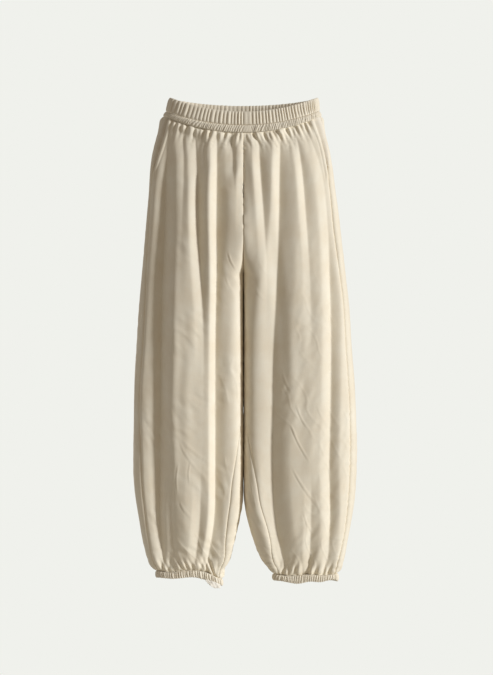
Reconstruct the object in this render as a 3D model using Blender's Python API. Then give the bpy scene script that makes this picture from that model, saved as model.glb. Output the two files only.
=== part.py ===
"""Cream balloon trousers that hang open: gathered waistband, slant pockets, gathered ankle cuffs.

The tables are in millimetres and the model is in metres. +Z is up and the front faces -Y. The left
leg is the one at -X, as an onlooker in front sees it. The origin is the middle of the waist, level
with the top edge at the centre front.
"""

import math

import bpy
import numpy as np

MM = 0.001

# Cloth
WALL = 1.5
FACING_WALL = 1.2
SEAM_GAP = 0.3

# Waist: its top edge dips towards the centre, more in front than behind
WAIST_SIDE = 28.0
WAIST_DIP = {"front": 28.0, "back": 9.0}
BAND_HEIGHT = 27.0
STRIP_SIDE_HEIGHT = 10.0
STRIP_CENTRE_HEIGHT = 14.5

# Crotch: the centre seam turns under over CROTCH_CURVE above this height
CROTCH = -320.0
CROTCH_CURVE = 110.0
CROTCH_SPREAD = 170.0
LEG_HALF_GAP = 0.8
LEG_GAP_RAMP = 60.0

# How square a section is: 2 is an ellipse
SQUARENESS = 2.6

# The body of the trousers, a row for each height: the outline to each side, the inner edges
# of the legs, and how far the front and the back stand from the middle
BODY_COLUMNS = ("z", "left", "right", "inner_left", "inner_right", "front", "back")
BODY_ROWS = (
    (30, -147, 149, 0, 0, 43, 43),
    (0, -155, 152, 0, 0, 46, 46),
    (-12, -161, 156, 0, 0, 48, 49),
    (-44, -171, 163, 0, 0, 52, 55),
    (-76, -180, 171, 0, 0, 56, 61),
    (-176, -190, 186, 0, 0, 63, 73),
    (-296, -200, 200, 0, 0, 68, 75),
    (-376, -207, 209, 0, 0, 69, 72),
    (-456, -212, 215, 0, 0, 69, 70),
    (-536, -217, 221, 0, 0, 69, 69),
    (-616, -219, 225, 0, 0, 67, 67),
    (-676, -220, 226, 0, 0, 65, 65),
    (-736, -219, 224, -1, 1, 62, 62),
    (-776, -215, 221, -2, 2, 59, 59),
    (-816, -208, 215, -9, 9, 54, 54),
    (-856, -201, 208, -18, 21, 46, 46),
    (-896, -189, 199, -29, 39, 34, 34),
    (-920, -174, 188, -43, 60, 23, 23),
    (-950, -173, 187, -43, 61, 21, 21),
)

# The side seams, and how far the pocket edge of each front lies inside them
SEAM_COLUMNS = ("z", "left", "right", "pocket_left", "pocket_right")
SEAM_ROWS = (
    (-8, -157, 152, 10, 18),
    (-62, -173, 165, 10, 9),
    (-98, -180, 170, 6, 5),
    (-130, -182.5, 171, 0, 0),
    (-162, -186, 175, 0, 0),
    (-232, -190, 182, 0, 0),
    (-300, -194, 190, 0, 0),
    (-388, -198, 200, 0, 0),
    (-462, -202, 204, 0, 0),
    (-592, -209, 212, 0, 0),
    (-676, -206, 213, 0, 0),
    (-776, -201, 209, 0, 0),
    (-856, -190, 199, 0, 0),
    (-896, -180, 189, 0, 0),
    (-920, -167, 181, 0, 0),
)

# How far each inseam rolls forward from the inner edge of its leg
INSEAM_COLUMNS = ("z", "left", "right")
INSEAM_ROWS = (
    (-590, 0, 0),
    (-620, 3, 3),
    (-676, 11, 13),
    (-776, 23, 29),
    (-852, 17, 32),
    (-902, 8, 17),
    (-920, 5, 8),
)

# The folds: where each crease runs and how deep it is, at the heights of FOLD_STATIONS. Its left
# and right reach are how far away the crests of the cloth on either side of it stand.
FOLD_STATIONS = (-30, -110, -220, -320, -440, -580, -700, -820, -920)
FOLD_COLUMNS = ("face", "side", "name", "reach_left", "reach_right", "x", "depth")
FOLD_ROWS = (
    ("front", "left", "pocket", 16, 40,
     (-146, -156, -162, -168, -171, -172, -172, -172, -157), (3, 9, 14, 15, 15, 15, 15, 14, 7)),
    ("front", "left", "outer", 14, 24,
     (-122, -119, -122, -126, -132, -137, -139, -142, -134), (6, 5, 1, 0, 0, 3, 6, 8, 5)),
    ("front", "left", "middle", 16, 20,
     (-101, -100, -99, -91, -80, -79, -83, -87, -99), (6, 11, 12, 9, 4, 1, 1, 6, 7)),
    ("front", "left", "inner", 12, 40,
     (-52, -54, -55, -55, -57, -58, -58, -60, -76), (6, 12, 14, 15, 15, 15, 15, 14, 8)),
    ("front", "right", "inner", 14, 22,
     (30, 33, 41, 46, 44, 38, 40, 52, 74), (6, 9, 7, 3, 0, 0, 0, 1, 3)),
    ("front", "right", "middle", 15, 44,
     (75, 73, 71, 68, 60, 56, 56, 63, 86), (6, 11, 13, 14, 15, 15, 15, 14, 8)),
    ("front", "right", "outer", 14, 24,
     (104, 117, 126, 132, 134, 134, 134, 134, 131), (6, 8, 7, 4, 1, 1, 3, 9, 8)),
    ("front", "right", "pocket", 20, 16,
     (124, 154, 170, 175, 177, 175, 172, 174, 168), (3, 4, 7, 9, 10, 10, 10, 10, 5)),
    ("back", "left", "outer", 20, 34,
     (-132, -146, -156, -164, -168, -170, -170, -168, -150), (6, 10, 13, 14, 14, 13, 12, 12, 7)),
    ("back", "left", "middle", 26, 22,
     (-92, -98, -104, -110, -114, -112, -110, -112, -116), (6, 9, 10, 9, 7, 8, 9, 11, 8)),
    ("back", "left", "inner", 20, 30,
     (-48, -50, -53, -56, -54, -50, -52, -58, -76), (6, 11, 13, 14, 14, 13, 13, 12, 7)),
    ("back", "right", "inner", 26, 20,
     (44, 47, 52, 56, 60, 58, 56, 62, 86), (6, 10, 12, 13, 14, 14, 13, 12, 7)),
    ("back", "right", "middle", 22, 28,
     (88, 94, 100, 108, 116, 118, 116, 116, 124), (6, 8, 8, 8, 6, 7, 9, 11, 8)),
    ("back", "right", "outer", 30, 20,
     (128, 142, 154, 164, 170, 174, 174, 170, 160), (6, 10, 13, 14, 14, 14, 13, 12, 7)),
)

# The centre seams sink between the panels, down to where the crotch curve begins
CENTRE_FOLD_COLUMNS = ("z", "depth", "reach_left", "reach_right")
CENTRE_FOLD_ROWS = (
    (-20, 3, 10, 12),
    (-90, 6, 12, 16),
    (-160, 7, 14, 20),
    (-210, 4, 14, 20),
    (-250, 0, 14, 20),
)

# Short gathers below the waist seam
GATHER_COLUMNS = ("face", "side", "x", "lean", "length", "depth", "reach")
GATHER_ROWS = (
    ("front", "left", -79, 3, 130, 5.0, 11),
    ("front", "left", -24, 9, 110, 5.0, 11),
    ("front", "right", 12, 4, 80, 4.0, 9),
    ("front", "right", 52, 3, 70, 4.5, 10),
    ("front", "right", 91, 2, 90, 4.5, 10),
    ("back", "left", -112, -6, 100, 4.5, 10),
    ("back", "left", -70, 2, 120, 5.0, 11),
    ("back", "left", -24, 3, 90, 4.5, 11),
    ("back", "right", 22, 2, 110, 4.5, 11),
    ("back", "right", 66, 3, 90, 5.0, 11),
    ("back", "right", 108, 6, 120, 4.5, 10),
)

# The fold's flank: 1 is straight, 2 is a parabola
FLANK_POWER = 1.5

# Folds are shallow at the waist seam and at the hem, where the elastic holds the cloth
WAIST_FLAT = 22.0
HEM_FLAT = 26.0
SEAM_SHARE = 0.3

# Panel rows: nominal heights from the waist seam down to the cuff
PANEL_TOP = -25.0
PANEL_BOTTOM = -920.0
TOP_SHIFT_END = -150.0
BOTTOM_SHIFT_START = -850.0
PANEL_ROWS = (
    PANEL_TOP, -42, -64, -92, -126, -168, -215, -252, -280, -300, -313, CROTCH,
    -336, -372, -422, -482, -542, -602, -662, -718, -766, -806, -840, -868, -892, PANEL_BOTTOM,
)

# Panel columns: how many lie between two neighbouring creases, from the side seam inwards
COLUMNS_BETWEEN = {
    ("front", "left"): (2, 3, 3, 3, 4),
    ("front", "right"): (2, 3, 4, 3, 3),
    ("back", "left"): (5, 3, 3, 4),
    ("back", "right"): (5, 3, 3, 4),
}

# Cuffs
CUFF_HEIGHT = 13.0
CUFF_WALL = 1.8
CUFF_RIBS = 36
CUFF_RIB_HEIGHT = 1.2

# How far each leg's end lies above or below PANEL_BOTTOM, across its width
HEM_COLUMNS = ("x", "shift")
HEM_ROWS = {
    "left": ((-174, 4), (-150, 1), (-120, 4), (-90, 5), (-66, -2), (-43, -14)),
    "right": ((60, -3), (90, -6), (130, -3), (160, -5), (188, -2)),
}

# Waistband
RIBS = 84
RIB_HEIGHT = 1.5
BAND_WALL = 1.8
STRIP_WALL = 1.6
STRIP_COLUMNS = 56
TAB_LEFT = -2.0
TAB_RIGHT = 13.0

# Pocket facings
FACING_TUCK = 14.0
FACING_BOTTOM = -138.0
FACING_GAP = 1.0
FACING_UNDER = -112.0
FACING_DEPTH = WALL + 2.2
FACING_ROWS = 8
FACING_COLUMNS = 6

# The seam allowance that hangs below the left cuff
ALLOWANCE_LEFT = -75.0
ALLOWANCE_RIGHT = -47.0
ALLOWANCE_HEIGHT = 12.0
ALLOWANCE_WALL = 1.6
ALLOWANCE_COLUMNS = 8

SIDES = {"left": -1, "right": 1}
CREAM = (0.80, 0.73, 0.60)


def table(names, rows):
    """The rows as a dictionary of named columns."""
    return {name: np.array([row[k] for row in rows], float) for k, name in enumerate(names)}


BODY = table(BODY_COLUMNS, BODY_ROWS)
SEAMS = table(SEAM_COLUMNS, SEAM_ROWS)
INSEAMS = table(INSEAM_COLUMNS, INSEAM_ROWS)
CENTRE_FOLD = table(CENTRE_FOLD_COLUMNS, CENTRE_FOLD_ROWS)
FOLDS = [dict(zip(FOLD_COLUMNS, row)) for row in FOLD_ROWS]
GATHERS = [dict(zip(GATHER_COLUMNS, row)) for row in GATHER_ROWS]


def smooth(at, knots, values):
    """A curve through the values, with no kinks. Beyond the last knots it stays level."""
    knots = np.asarray(knots, float)
    values = np.asarray(values, float)
    if knots[0] > knots[-1]:
        knots, values = knots[::-1], values[::-1]
    slopes = np.gradient(values, knots)
    at = np.clip(np.asarray(at, float), knots[0], knots[-1])
    k = np.clip(np.searchsorted(knots, at) - 1, 0, len(knots) - 2)
    step = knots[k + 1] - knots[k]
    t = (at - knots[k]) / step
    return (
        (1 + 2 * t) * (1 - t) ** 2 * values[k]
        + t * (1 - t) ** 2 * step * slopes[k]
        + t**2 * (3 - 2 * t) * values[k + 1]
        + t**2 * (t - 1) * step * slopes[k + 1]
    )


def ramp(value, start, end):
    """0 at start, 1 at end, with a soft beginning and a soft end."""
    t = np.clip((value - start) / (end - start), 0, 1)
    return t * t * (3 - 2 * t)


def unit(vectors):
    return vectors / np.maximum(np.linalg.norm(vectors, axis=-1, keepdims=True), 1e-9)


def leg_middle(side, z):
    """The middle of the leg and its half width at height z, measured away from the body's middle."""
    outer = smooth(z, BODY["z"], BODY[side]) * SIDES[side]
    inner = smooth(z, BODY["z"], BODY["inner_" + side]) * SIDES[side]
    gap = SEAM_GAP / 2 + (LEG_HALF_GAP - SEAM_GAP / 2) * ramp(z, CROTCH, CROTCH - LEG_GAP_RAMP)
    inner = np.maximum(inner, gap)
    return (outer + inner) / 2, (outer - inner) / 2


def torso_share(out, half, z):
    """1 where the section is one torso, 0 where it is two legs. The crotch is a curve between them at
    the middle, and away from there one grows slowly into the other."""
    away = np.clip(out / (2 * half), 0, 1)
    reach = CROTCH_SPREAD * ramp(away, 0, 0.5)
    rise = np.clip((z - CROTCH + reach) / (CROTCH_CURVE + reach), 0, 1)
    return (1 - (1 - rise) ** 2) ** (0.5 + ramp(away, 0, 0.2))


def body_frame(side, angle, z):
    """A point on the body without folds, and its level way outwards. The angle is 0 at the outer
    edge, negative in front."""
    middle, half = leg_middle(side, z)
    turn = np.cos(angle)
    out = middle + half * turn
    across = np.abs(out / (middle + half))
    in_torso = np.clip(1 - across**SQUARENESS, 0, 1) ** (1 / SQUARENESS)
    in_leg = np.clip(1 - np.abs(turn) ** SQUARENESS, 0, 1) ** (1 / SQUARENESS)
    share = torso_share(out, half, z)
    behind = np.where(np.sin(angle) > 0, 1, -1)
    front, back = smooth(z, BODY["z"], BODY["front"]), smooth(z, BODY["z"], BODY["back"])
    depth = np.where(behind > 0, back, front)
    reach = depth * (share * in_torso + (1 - share) * in_leg)
    point = np.stack([out * SIDES[side], behind * reach, z + 0 * out], -1)
    power = SQUARENESS - 1
    torso_way = unit(np.stack([across**power / (middle + half), in_torso**power / depth], -1))
    leg_way = unit(np.stack([np.sign(turn) * np.abs(turn) ** power / half, in_leg**power / depth], -1))
    way = unit(share[..., None] * torso_way + (1 - share[..., None]) * leg_way)
    return point, np.stack([way[..., 0] * SIDES[side], way[..., 1] * behind, 0 * out], -1)


def body_point(side, angle, z):
    return body_frame(side, angle, z)[0]


def outward(side, angle, z):
    return body_frame(side, angle, z)[1]


def angle_at(side, face, x, z):
    """The angle on the front or the back of the body at x."""
    middle, half = leg_middle(side, z)
    turn = np.arccos(np.clip((x * SIDES[side] - middle) / half, -1, 1))
    return -turn if face == "front" else turn


def groove(x, crease, reach_left, reach_right):
    """1 at the crease, falling to 0 at the crests on either side."""
    away = x - crease
    share = np.where(away < 0, -away / reach_left, away / reach_right)
    return np.clip(1 - share, 0, 1) ** FLANK_POWER


def fold_depth(side, face, x, z):
    """How far the folds and gathers sink the cloth at x and z."""
    depth = 0 * x
    for fold in FOLDS:
        if fold["side"] == side and fold["face"] == face:
            crease = smooth(z, FOLD_STATIONS, fold["x"])
            deep = np.maximum(smooth(z, FOLD_STATIONS, fold["depth"]), 0)
            depth = depth + deep * groove(x, crease, fold["reach_left"], fold["reach_right"])
    for gather in GATHERS:
        if gather["side"] == side and gather["face"] == face:
            fade = ramp(z, PANEL_TOP - gather["length"], PANEL_TOP)
            crease = gather["x"] + gather["lean"] * (1 - fade)
            reach = gather["reach"]
            depth = depth + gather["depth"] * fade * groove(x, crease, reach, reach)
    deep = smooth(z, CENTRE_FOLD["z"], CENTRE_FOLD["depth"])
    left = smooth(z, CENTRE_FOLD["z"], CENTRE_FOLD["reach_left"])
    right = smooth(z, CENTRE_FOLD["z"], CENTRE_FOLD["reach_right"])
    return depth + np.maximum(deep, 0) * groove(x, 0, left, right)


def cloth_point(side, angle, z):
    """A point on the outside of the folded cloth."""
    body = body_point(side, angle, z)
    front = fold_depth(side, "front", body[..., 0], z)
    back = fold_depth(side, "back", body[..., 0], z)
    from_waist = (strip_bottom(angle) - z) / WAIST_FLAT
    from_hem = (z - PANEL_BOTTOM - hem_shift(side, angle)) / HEM_FLAT
    sink = np.where(np.sin(angle) > 0, back, front) * (
        SEAM_SHARE + (1 - SEAM_SHARE) * ramp(np.minimum(from_waist, from_hem), 0, 1)
    )
    return body - outward(side, angle, z) * sink[..., None]


def waist_share(angle):
    """1 at the centre front and back, 0 at the sides."""
    return 1 - ((1 + np.cos(angle)) / 2) ** 2


def waist_edge(angle):
    """The height of the waist's top edge."""
    dip = np.where(np.sin(angle) > 0, WAIST_DIP["back"], WAIST_DIP["front"])
    return WAIST_SIDE - dip * waist_share(angle)


def band_bottom(angle):
    return waist_edge(angle) - BAND_HEIGHT


def strip_top(angle):
    return band_bottom(angle) - SEAM_GAP


def strip_bottom(angle):
    height = STRIP_SIDE_HEIGHT + (STRIP_CENTRE_HEIGHT - STRIP_SIDE_HEIGHT) * waist_share(angle)
    return strip_top(angle) - height


def hem_shift(side, angle):
    """How far the leg's end lies above PANEL_BOTTOM."""
    hem = table(HEM_COLUMNS, HEM_ROWS[side])
    x = body_point(side, angle, PANEL_BOTTOM + 0 * angle)[..., 0]
    return smooth(x, hem["x"], hem["shift"])


def settle(side, angle, nominal):
    """The real height of a nominal one: rows near the waist and the hem follow their seams."""
    top = strip_bottom(angle) - SEAM_GAP - PANEL_TOP
    top_share = np.clip((nominal - TOP_SHIFT_END) / (PANEL_TOP - TOP_SHIFT_END), 0, 1)
    bottom_share = np.clip((BOTTOM_SHIFT_START - nominal) / (BOTTOM_SHIFT_START - PANEL_BOTTOM), 0, 1)
    return nominal + top * top_share + hem_shift(side, angle) * bottom_share


def side_seam_angle(side, z):
    return angle_at(side, "front", smooth(z, SEAMS["z"], SEAMS[side]), z)


def pocket_edge_x(side, z):
    inset = np.maximum(smooth(z, SEAMS["z"], SEAMS["pocket_" + side]), 0)
    return smooth(z, SEAMS["z"], SEAMS[side]) - SIDES[side] * inset


def inseam_angle(side, z):
    middle, half = leg_middle(side, z)
    inset = np.maximum(smooth(z, INSEAMS["z"], INSEAMS[side]), 0)
    return -np.arccos(np.clip((inset - half) / half, -1, 1))


def panel_tracks(side, face):
    """Functions that give the angles of a panel's edges and creases, from the side seam inwards."""
    def crease_angle(fold):
        return lambda z: angle_at(side, face, smooth(z, FOLD_STATIONS, fold["x"]), z)

    folds = [fold for fold in FOLDS if fold["side"] == side and fold["face"] == face]
    folds.sort(key=lambda fold: -abs(fold["x"][0]))
    creases = [crease_angle(fold) for fold in folds]
    if face == "front":
        return [
            lambda z: angle_at(side, "front", pocket_edge_x(side, z), z),
            *creases,
            lambda z: inseam_angle(side, z),
        ]
    return [
        lambda z: side_seam_angle(side, z),
        *creases,
        lambda z: inseam_angle(side, z) + 2 * math.pi,
    ]


def settled(side, angle_of, nominal):
    """The angles and the real heights where the rows cross a track."""
    z = nominal
    for _ in range(4):
        angle = angle_of(z)
        z = settle(side, angle, nominal)
    return angle, z


def panel_grid(side, face):
    """Angles and heights of a panel's points, a row for each height."""
    nominal = np.array(PANEL_ROWS, float)
    tracks = [settled(side, track, nominal)[0] for track in panel_tracks(side, face)]
    columns = []
    for start, end, between in zip(tracks[:-1], tracks[1:], COLUMNS_BETWEEN[face, side]):
        columns += list(np.linspace(start, end, between + 2)[:-1])
    angles = np.array([*columns, tracks[-1]]).T
    nominal = nominal[:, None] + 0 * angles
    return settled(side, lambda z: angles, nominal)


def seam_inward(side, angle, z):
    """The way from the outside of the cloth to its inside at a seam, the same for both panels."""
    if z < CROTCH or abs(angle) < math.pi - 0.01:
        return -outward(side, angle, z)
    drop = body_point(side, angle, z - 2) - body_point(side, angle, z + 2)
    facing = 1 if angle < 0 else -1
    return unit(np.array([0, -drop[2] * facing, drop[1] * facing]))


def mitred_inward(points):
    """The way to the inside at every point of a grid, lengthened at creases so that the wall stays as
    thick there."""
    down = np.gradient(points, axis=0)
    across = np.diff(points, axis=1)
    before = np.concatenate([across[:, :1], across], axis=1)
    after = np.concatenate([across, across[:, -1:]], axis=1)
    first = unit(np.cross(before, down))
    second = unit(np.cross(after, down))
    cosine = np.sum(first * second, axis=-1, keepdims=True)
    return (first + second) / np.maximum(1 + cosine, 0.6)


def wall_mesh(name, outside, inside, closed=False):
    """One closed solid between two grids of points. A closed grid's last column meets its first."""
    rows, columns = outside.shape[:2]
    corners = np.concatenate([outside.reshape(-1, 3), inside.reshape(-1, 3)]) * MM
    offset = rows * columns
    faces = []
    last = columns if closed else columns - 1
    for i in range(rows - 1):
        for j in range(last):
            k = (j + 1) % columns
            a, b = i * columns + j, i * columns + k
            c, d = b + columns, a + columns
            faces.append((a, b, c, d))
            faces.append((offset + d, offset + c, offset + b, offset + a))
    for j in range(last):
        k = (j + 1) % columns
        bottom = (rows - 1) * columns
        faces.append((k, j, offset + j, offset + k))
        faces.append((bottom + j, bottom + k, offset + bottom + k, offset + bottom + j))
    if not closed:
        for i in range(rows - 1):
            left, right = i * columns, i * columns + columns - 1
            faces.append((left, left + columns, offset + left + columns, offset + left))
            faces.append((right + columns, right, offset + right, offset + right + columns))
    mesh = bpy.data.meshes.new(name)
    mesh.from_pydata([tuple(corner) for corner in corners], [], faces)
    return mesh


def signed_volume(mesh):
    mesh.calc_loop_triangles()
    place = np.array([vertex.co for vertex in mesh.vertices], float)
    corners = place[np.array([triangle.vertices for triangle in mesh.loop_triangles])]
    return np.einsum("ij,ij->i", corners[:, 0], np.cross(corners[:, 1], corners[:, 2])).sum() / 6


def add_piece(name, outside, inside, material, closed=False):
    """A wall as a named object, shaded smooth, with its faces outwards."""
    mesh = wall_mesh(name, outside, inside, closed)
    if signed_volume(mesh) < 0:
        mesh.flip_normals()
    mesh.materials.append(material)
    mesh.shade_smooth()
    mesh.set_sharp_from_angle(angle=math.radians(50))
    piece = bpy.data.objects.new(name, mesh)
    bpy.context.collection.objects.link(piece)
    return piece


def cloth_material(name, colour, roughness):
    material = bpy.data.materials.new(name)
    material.use_nodes = True
    shader = material.node_tree.nodes["Principled BSDF"]
    shader.inputs["Base Color"].default_value = (*colour, 1)
    shader.inputs["Roughness"].default_value = roughness
    shader.inputs["Metallic"].default_value = 0
    return material


def part_at_seam(points, inward, centre_rows, gap=SEAM_GAP / 2):
    """The edge columns moved towards their own panel, square to the wall. The first centre_rows of
    the last column lie on a centre seam, where the body itself leaves the gap."""
    points = points.copy()
    for edge, neighbour, first in ((0, 1, 0), (-1, -2, centre_rows)):
        along = points[first:, neighbour] - points[first:, edge]
        square = inward[first:, edge]
        along -= square * np.sum(along * square, axis=-1, keepdims=True)
        along[:, 2] = 0
        points[first:, edge] += unit(along) * gap
    return points


def panel(side, face, material):
    """A front or a back, from the waist seam to the cuff."""
    angles, z = panel_grid(side, face)
    points = cloth_point(side, angles, z)
    inward = mitred_inward(points)
    toward = -outward(side, angles, z)
    inward *= np.sign(np.sum(inward * toward, axis=-1, keepdims=True))
    for i in range(len(angles)):
        for edge in (0, -1):
            inward[i, edge] = seam_inward(side, angles[i, edge], z[i, edge])
        if PANEL_ROWS[i] == CROTCH:
            inward[i, -1] = unit(np.array([SIDES[side], 0.0, 1.0]))
    points = part_at_seam(points, inward, PANEL_ROWS.index(CROTCH))
    add_piece(f"{face}_{side}", points, points + inward * WALL, material)


def pocket_facing(side, material):
    """The cloth behind the slant opening, tucked under the front and level with it at the side seam."""
    sign = SIDES[side]
    nominal = np.linspace(PANEL_TOP, FACING_BOTTOM, FACING_ROWS)
    seam, _ = settled(side, lambda z: side_seam_angle(side, z), nominal)

    def tucked_angle(z):
        return angle_at(side, "front", pocket_edge_x(side, z) - sign * FACING_TUCK, z)

    tucked, _ = settled(side, tucked_angle, nominal)
    angles = np.linspace(seam, tucked, FACING_COLUMNS).T
    nominal = nominal[:, None] + 0 * angles
    angles, z = settled(side, lambda z: angles, nominal)
    x = body_point(side, angles, z)[..., 0]
    points = cloth_point(side, angles, z)
    inward = -outward(side, angles, z)
    seam = smooth(z, SEAMS["z"], SEAMS[side])
    edge = pocket_edge_x(side, z)
    shown = np.clip((x - edge) / np.where(np.abs(seam - edge) < 1, sign, seam - edge), 0, 1)
    below = FACING_DEPTH * (1 - ramp(shown, 0.3, 1.0))
    below = np.where(nominal < FACING_UNDER, FACING_DEPTH, below)
    points = part_at_seam(points, inward, 0, FACING_GAP) + inward * below[..., None]
    add_piece(f"pocket_facing_{side}", points, points + inward * FACING_WALL, material)


def waist_ring(columns):
    """Side and angle of points all round the waist, evenly spaced, from the centre front to the right."""
    fine = np.linspace(-math.pi, math.pi, 721)
    right = body_point("right", fine, 0 * fine)
    left = body_point("left", -fine, 0 * fine)
    names = ["right"] * len(fine) + ["left"] * len(fine)
    angles = np.concatenate([fine, -fine])
    points = np.concatenate([right, left])[:, :2]
    step = np.linalg.norm(np.diff(points, axis=0), axis=1)
    run = np.concatenate([[0], np.cumsum(step)])
    wanted = np.arange(columns) / columns * run[-1]
    return [(names[k], np.array(angles[k])) for k in np.searchsorted(run, wanted)]


def band_points(ring, share, top, bottom, rise):
    """One level of points on a waist ring. share runs from 0 at its top edge to 1 at its bottom edge."""
    points = []
    for (side, angle), lift in zip(ring, rise):
        z = (1 - share) * top(angle) + share * bottom(angle)
        points.append(body_point(side, angle, z) + outward(side, angle, z) * lift)
    return np.array(points)


def waistband(material):
    """The ribbed casing: ribs stand out from a plain wall, but for the flat tab at the centre front."""
    ring = waist_ring(RIBS * 2)
    across = np.array([body_point(side, angle, np.array(0.0))[:2] for side, angle in ring])
    tab = (across[:, 1] < 0) & (across[:, 0] > TAB_LEFT) & (across[:, 0] < TAB_RIGHT)
    ribs = np.where(np.arange(RIBS * 2) % 2 == 0, 1.0, 0.0)
    ribs = np.where(tab, 0.6, ribs) * RIB_HEIGHT
    levels = ((0.0, 0.2), (0.16, 1.0), (0.84, 1.0), (1.0, 0.2))
    outside = np.array([band_points(ring, s, waist_edge, band_bottom, ribs * r) for s, r in levels])
    plain = np.full(RIBS * 2, -BAND_WALL)
    inside = np.array([band_points(ring, s, waist_edge, band_bottom, plain) for s, _ in levels])
    add_piece("waistband", outside, inside, material, closed=True)


def waist_strip(material):
    """The narrow second row of elastic, a little rounded."""
    ring = waist_ring(STRIP_COLUMNS * 2)
    levels = ((0.0, 0.0), (0.5, 1.0), (1.0, 0.0))
    flat = np.ones(STRIP_COLUMNS * 2)
    outside = np.array([band_points(ring, s, strip_top, strip_bottom, flat * r) for s, r in levels])
    inside = np.array([band_points(ring, s, strip_top, strip_bottom, -flat * STRIP_WALL) for s, _ in levels])
    add_piece("waist_strip", outside, inside, material, closed=True)


def cuff(side, material):
    """A ribbed elastic ring below the leg."""
    count = CUFF_RIBS * 2
    fine = np.linspace(-math.pi, math.pi, 721)
    level = np.full_like(fine, PANEL_BOTTOM)
    run = np.linalg.norm(np.diff(body_point(side, fine, level), axis=0), axis=1)
    run = np.concatenate([[0], np.cumsum(run)])
    angles = np.interp(np.arange(count) / count * run[-1], run, fine)
    base = body_point(side, angles, np.full(count, PANEL_BOTTOM))
    top = PANEL_BOTTOM + hem_shift(side, angles) - SEAM_GAP
    ribs = np.where(np.arange(count) % 2 == 0, CUFF_RIB_HEIGHT, 0.0)
    away = outward(side, angles, np.full(count, PANEL_BOTTOM))
    outside, inside = [], []
    for share, lift in ((0.0, 0.2), (0.3, 1.0), (1.0, 0.5)):
        ring = base.copy()
        ring[:, 2] = top - CUFF_HEIGHT * share
        outside.append(ring + away * (ribs * lift)[:, None])
        inside.append(ring - away * CUFF_WALL)
    add_piece(f"cuff_{side}", np.array(outside), np.array(inside), material, closed=True)


def cuff_allowance(material):
    """The overlocked end of the inseam that hangs below the left cuff, in front."""
    side = "left"
    x = np.linspace(ALLOWANCE_LEFT, ALLOWANCE_RIGHT, ALLOWANCE_COLUMNS)
    level = np.full_like(x, PANEL_BOTTOM)
    angles = angle_at(side, "front", x, level)
    base = body_point(side, angles, level)
    top = PANEL_BOTTOM + hem_shift(side, angles) - CUFF_HEIGHT - SEAM_GAP * 2
    droop = ALLOWANCE_HEIGHT * np.sin(np.linspace(0.5, 2.6, ALLOWANCE_COLUMNS))
    away = outward(side, angles, level)
    outside = []
    for share in (0.0, 0.5, 1.0):
        row = base.copy()
        row[:, 2] = top - droop * share
        row = row + away * (0.8 * share * np.sin(np.arange(ALLOWANCE_COLUMNS) * 1.9))[:, None]
        outside.append(row)
    outside = np.array(outside)
    add_piece("cuff_allowance_left", outside, outside - away * ALLOWANCE_WALL, material)


def main():
    for item in list(bpy.data.objects):
        bpy.data.objects.remove(item, do_unlink=True)
    for side in SIDES:
        for face in ("front", "back"):
            panel(side, face, cloth_material(f"cotton_{face}_{side}", CREAM, 0.8))
        pocket_facing(side, cloth_material(f"cotton_facing_{side}", CREAM, 0.85))
        cuff(side, cloth_material(f"elastic_cuff_{side}", CREAM, 0.9))
    waistband(cloth_material("elastic_waistband", CREAM, 0.85))
    waist_strip(cloth_material("elastic_strip", CREAM, 0.9))
    cuff_allowance(cloth_material("overlocked_cotton", CREAM, 0.95))


main()
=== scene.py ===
"""Dresses the solids of a pair of cream balloon trousers: cloth, gathers, seams and elastic.

Tables are in millimetres and the scene is in metres. +Z is up and the front faces -Y. The left leg
is the one at -X. Each piece of cloth is a thin sheet on the form of the solid that it replaces.
"""

import math

import bpy
import numpy as np
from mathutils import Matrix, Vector

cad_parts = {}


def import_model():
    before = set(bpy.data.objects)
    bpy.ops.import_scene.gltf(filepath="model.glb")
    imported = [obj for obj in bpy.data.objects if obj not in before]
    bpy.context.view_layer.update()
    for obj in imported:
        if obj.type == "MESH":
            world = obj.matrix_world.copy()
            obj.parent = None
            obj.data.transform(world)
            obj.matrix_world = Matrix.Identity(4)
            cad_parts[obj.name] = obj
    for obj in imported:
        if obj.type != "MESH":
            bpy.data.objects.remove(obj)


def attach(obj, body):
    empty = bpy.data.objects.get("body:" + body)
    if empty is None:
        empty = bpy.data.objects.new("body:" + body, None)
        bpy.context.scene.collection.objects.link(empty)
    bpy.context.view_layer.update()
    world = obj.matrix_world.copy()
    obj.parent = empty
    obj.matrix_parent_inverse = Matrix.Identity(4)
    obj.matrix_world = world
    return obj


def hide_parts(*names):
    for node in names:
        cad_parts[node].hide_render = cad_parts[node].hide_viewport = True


MM = 0.001
SIDES = {"left": -1, "right": 1}

# Studio, in metres
CAMERA_PLACE = (0.006, -5.0, -0.451)
CAMERA_DISTANCE = 5.0
SENSOR_WIDTH = 36.0
VIEW_HEIGHT = 1.35
FLOOR_HALF = 1.6
FLOOR_BACK = 0.6
FLOOR_LEVEL = -1.25

# Cloth
CLOTH = 0.6
SEAM_GAP = 0.3
TURN_IN = 2.4
SEAM_CLOSE = 0.13
EDGE_HELD = 1
EDGE_FREE = 13
PATCH_CONTRAST = 0.45
TUCK_START = 1.0
TUCK = 4.2
TUCK_RISE = 2.4

# Waist: its top edge dips towards the centre, more in front than behind
WAIST_SIDE = 28.0
WAIST_DIP = {"front": 31.0, "back": 12.0}
BAND_HEIGHT = 27.0
STRIP_SIDE_HEIGHT = 10.0
STRIP_CENTRE_HEIGHT = 14.5

# Crotch
CROTCH = -320.0
CROTCH_CURVE = 110.0
CROTCH_SPREAD = 170.0
LEG_HALF_GAP = 0.8
LEG_GAP_RAMP = 60.0
SQUARENESS = 2.6
INNER_SQUARENESS = 4.0

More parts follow.
